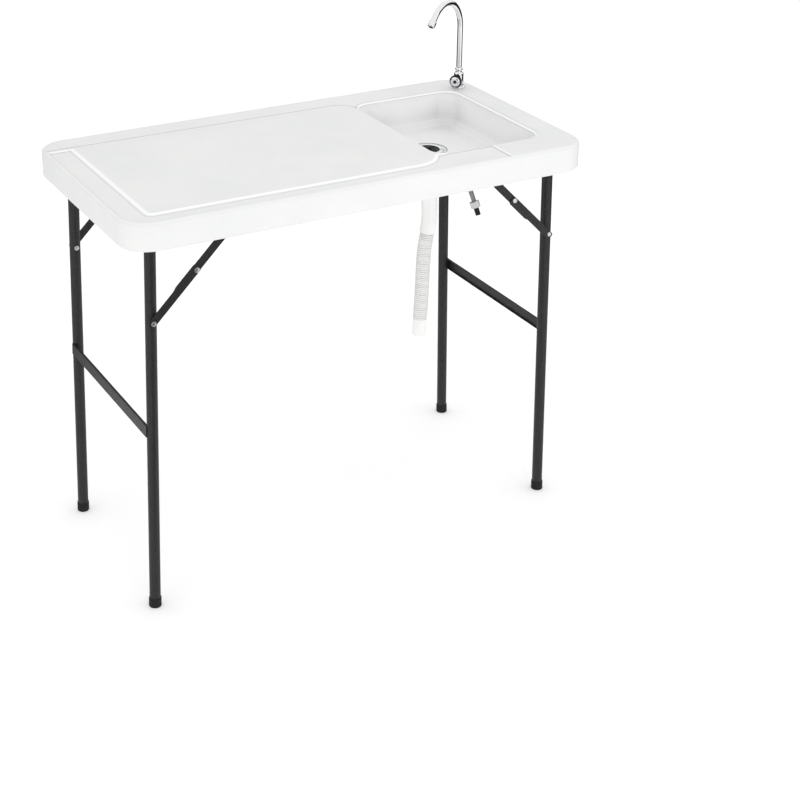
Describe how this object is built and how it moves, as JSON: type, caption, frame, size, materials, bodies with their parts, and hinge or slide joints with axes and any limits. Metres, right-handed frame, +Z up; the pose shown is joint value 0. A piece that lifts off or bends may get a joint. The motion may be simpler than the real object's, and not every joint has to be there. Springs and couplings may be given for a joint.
{
  "type": "camping sink stand",
  "caption": "Folding camp table with a moulded white top, a sunk bowl at one end, swivel tap with supply hose, drain hose, and two folding steel leg frames with knee braces.",
  "frame": {"origin": "on the floor under the centre of the table", "axes": "+X towards the sink end, -Y towards the user at the front, +Z up"},
  "size_m": [1.143, 0.584, 1.1812],
  "materials": {
    "white_plastic": "moulded, fine grain",
    "coated_steel": "dark grey hammered powder coat",
    "bright_steel": "plated",
    "chrome": "polished",
    "black_plastic": "moulded",
    "black_rubber": "moulded",
    "braided_steel": "woven wire braid",
    "hose_plastic": "ribbed, smooth cuffs"
  },
  "bodies": {
    "table": {"tabletop": "white_plastic", "centre_rail_front": "coated_steel", "centre_rail_back": "coated_steel", "tap_flange": "chrome", "tap_body": "chrome", "tap_collar_nut": "chrome", "tap_washer": "bright_steel", "tap_mounting_nut": "bright_steel", "supply_coupling_nut": "bright_steel", "supply_hose": "braided_steel", "supply_end_nut": "bright_steel", "supply_connector": "black_plastic", "drain_body": "chrome", "drain_strainer": "black_plastic", "drain_gasket": "black_rubber", "drain_lock_nut": "white_plastic", "drain_hose": "hose_plastic", "panel_end_rail_front": "coated_steel", "panel_end_rail_rivet_front": "bright_steel", "panel_end_rail_back": "coated_steel", "panel_end_rail_rivet_back": "bright_steel", "sink_end_rail_front": "coated_steel", "sink_end_rail_rivet_front": "bright_steel", "sink_end_rail_back": "coated_steel", "sink_end_rail_rivet_back": "bright_steel"},
    "panel_end_legs": {"panel_end_hinge_tube": "coated_steel", "panel_end_crossbar": "coated_steel", "panel_end_leg_front": "coated_steel", "panel_end_leg_back": "coated_steel", "panel_end_foot_cap_front": "black_rubber", "panel_end_foot_cap_back": "black_rubber", "panel_end_leg_rivet_front": "bright_steel", "panel_end_leg_rivet_back": "bright_steel"},
    "panel_end_upper_link_front": {"panel_end_upper_link_front": "coated_steel"},
    "panel_end_lower_link_front": {"panel_end_lower_link_front": "coated_steel", "panel_end_knee_rivet_front": "bright_steel"},
    "panel_end_upper_link_back": {"panel_end_upper_link_back": "coated_steel"},
    "panel_end_lower_link_back": {"panel_end_lower_link_back": "coated_steel", "panel_end_knee_rivet_back": "bright_steel"},
    "sink_end_legs": {"sink_end_hinge_tube": "coated_steel", "sink_end_crossbar": "coated_steel", "sink_end_leg_front": "coated_steel", "sink_end_leg_back": "coated_steel", "sink_end_foot_cap_front": "black_rubber", "sink_end_foot_cap_back": "black_rubber", "sink_end_leg_rivet_front": "bright_steel", "sink_end_leg_rivet_back": "bright_steel"},
    "sink_end_upper_link_front": {"sink_end_upper_link_front": "coated_steel"},
    "sink_end_lower_link_front": {"sink_end_lower_link_front": "coated_steel", "sink_end_knee_rivet_front": "bright_steel"},
    "sink_end_upper_link_back": {"sink_end_upper_link_back": "coated_steel"},
    "sink_end_lower_link_back": {"sink_end_lower_link_back": "coated_steel", "sink_end_knee_rivet_back": "bright_steel"},
    "spout": {"tap_spout": "chrome", "tap_aerator": "chrome"},
    "lever": {"tap_lever_hub": "chrome", "tap_lever": "black_plastic", "tap_lever_cap": "chrome"}
  },
  "joints": [
    {"name": "panel_end_fold", "type": "hinge", "parent": "table", "child": "panel_end_legs", "pos_m": [-0.508, -0.016, 0.901], "axis": [0, -1, 0], "range_deg": [0, 85]},
    {"name": "panel_end_upper_link_front_turn", "type": "hinge", "parent": "table", "child": "panel_end_upper_link_front", "pos_m": [-0.308, -0.2618, 0.908], "axis": [0, -1, 0], "range_deg": [-43, 0]},
    {"name": "panel_end_lower_link_front_turn", "type": "hinge", "parent": "panel_end_legs", "child": "panel_end_lower_link_front", "pos_m": [-0.51208, -0.2618, 0.70104], "axis": [0, -1, 0], "range_deg": [0, 43]},
    {"name": "panel_end_upper_link_back_turn", "type": "hinge", "parent": "table", "child": "panel_end_upper_link_back", "pos_m": [-0.308, 0.2298, 0.908], "axis": [0, -1, 0], "range_deg": [-43, 0]},
    {"name": "panel_end_lower_link_back_turn", "type": "hinge", "parent": "panel_end_legs", "child": "panel_end_lower_link_back", "pos_m": [-0.51208, 0.2298, 0.70104], "axis": [0, -1, 0], "range_deg": [0, 43]},
    {"name": "sink_end_fold", "type": "hinge", "parent": "table", "child": "sink_end_legs", "pos_m": [0.508, 0.016, 0.901], "axis": [0, 1, 0], "range_deg": [0, 88], "deforming": ["drain_hose"]},
    {"name": "sink_end_upper_link_front_turn", "type": "hinge", "parent": "table", "child": "sink_end_upper_link_front", "pos_m": [0.308, -0.2298, 0.908], "axis": [0, 1, 0], "range_deg": [-43, 0]},
    {"name": "sink_end_lower_link_front_turn", "type": "hinge", "parent": "sink_end_legs", "child": "sink_end_lower_link_front", "pos_m": [0.51208, -0.2298, 0.70104], "axis": [0, 1, 0], "range_deg": [0, 43]},
    {"name": "sink_end_upper_link_back_turn", "type": "hinge", "parent": "table", "child": "sink_end_upper_link_back", "pos_m": [0.308, 0.2618, 0.908], "axis": [0, 1, 0], "range_deg": [-43, 0]},
    {"name": "sink_end_lower_link_back_turn", "type": "hinge", "parent": "sink_end_legs", "child": "sink_end_lower_link_back", "pos_m": [0.51208, 0.2618, 0.70104], "axis": [0, 1, 0], "range_deg": [0, 43]},
    {"name": "spout_swivel", "type": "hinge", "parent": "table", "child": "spout", "pos_m": [0.527, 0.214, 1], "axis": [0, 0, 1], "range_deg": [-180, 180]},
    {"name": "lever_turn", "type": "hinge", "parent": "table", "child": "lever", "pos_m": [0.527, 0.214, 0.961], "axis": [-0.766, -0.6428, 0], "range_deg": [0, 90]}
  ],
  "couplings": [
    {"joint": "panel_end_upper_link_front_turn", "follows": "panel_end_fold", "ratio": -0.49527},
    {"joint": "panel_end_lower_link_front_turn", "follows": "panel_end_fold", "ratio": 0.48989},
    {"joint": "panel_end_upper_link_back_turn", "follows": "panel_end_fold", "ratio": -0.49527},
    {"joint": "panel_end_lower_link_back_turn", "follows": "panel_end_fold", "ratio": 0.48989},
    {"joint": "sink_end_upper_link_front_turn", "follows": "sink_end_fold", "ratio": -0.48646},
    {"joint": "sink_end_lower_link_front_turn", "follows": "sink_end_fold", "ratio": 0.47802},
    {"joint": "sink_end_upper_link_back_turn", "follows": "sink_end_fold", "ratio": -0.48646},
    {"joint": "sink_end_lower_link_back_turn", "follows": "sink_end_fold", "ratio": 0.47802}
  ]
}
